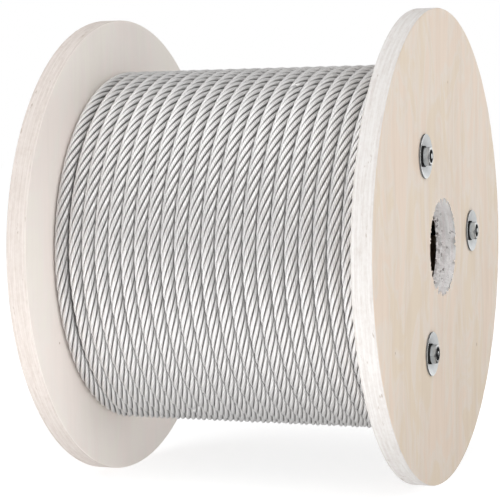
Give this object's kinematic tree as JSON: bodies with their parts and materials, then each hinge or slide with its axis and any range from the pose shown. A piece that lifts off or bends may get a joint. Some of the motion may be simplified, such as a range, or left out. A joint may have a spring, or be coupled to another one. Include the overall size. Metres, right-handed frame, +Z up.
{
  "type": "reel of wire rope",
  "caption": "Plywood reel wound full of stranded steel wire rope, with round flanges clamped to a hollow barrel by tie bolts and a spindle hole through its middle.",
  "frame": {"origin": "on the floor under the reel, halfway between the bolt heads and the bolt ends", "axes": "+X along the reel's axis toward the flange with the nuts, +Z up"},
  "size_m": [0.2178, 0.275, 0.275],
  "materials": {
    "birch_plywood": "bare sanded birch plywood",
    "fibre_tube": "plain wound fibre",
    "bright_wire_rope": "bright drawn wire",
    "zinc_plated_steel": "satin zinc plate"
  },
  "bodies": {
    "root": {"right_flange": "birch_plywood", "left_flange": "birch_plywood", "barrel": "fibre_tube", "rope_winding": "bright_wire_rope", "right_washer_1": "zinc_plated_steel", "right_washer_2": "zinc_plated_steel", "right_washer_3": "zinc_plated_steel", "left_washer_1": "zinc_plated_steel", "left_washer_2": "zinc_plated_steel", "left_washer_3": "zinc_plated_steel", "nut_1": "zinc_plated_steel", "nut_2": "zinc_plated_steel", "nut_3": "zinc_plated_steel", "tie_bolt_1": "zinc_plated_steel", "tie_bolt_2": "zinc_plated_steel", "tie_bolt_3": "zinc_plated_steel"}
  },
  "joints": []
}
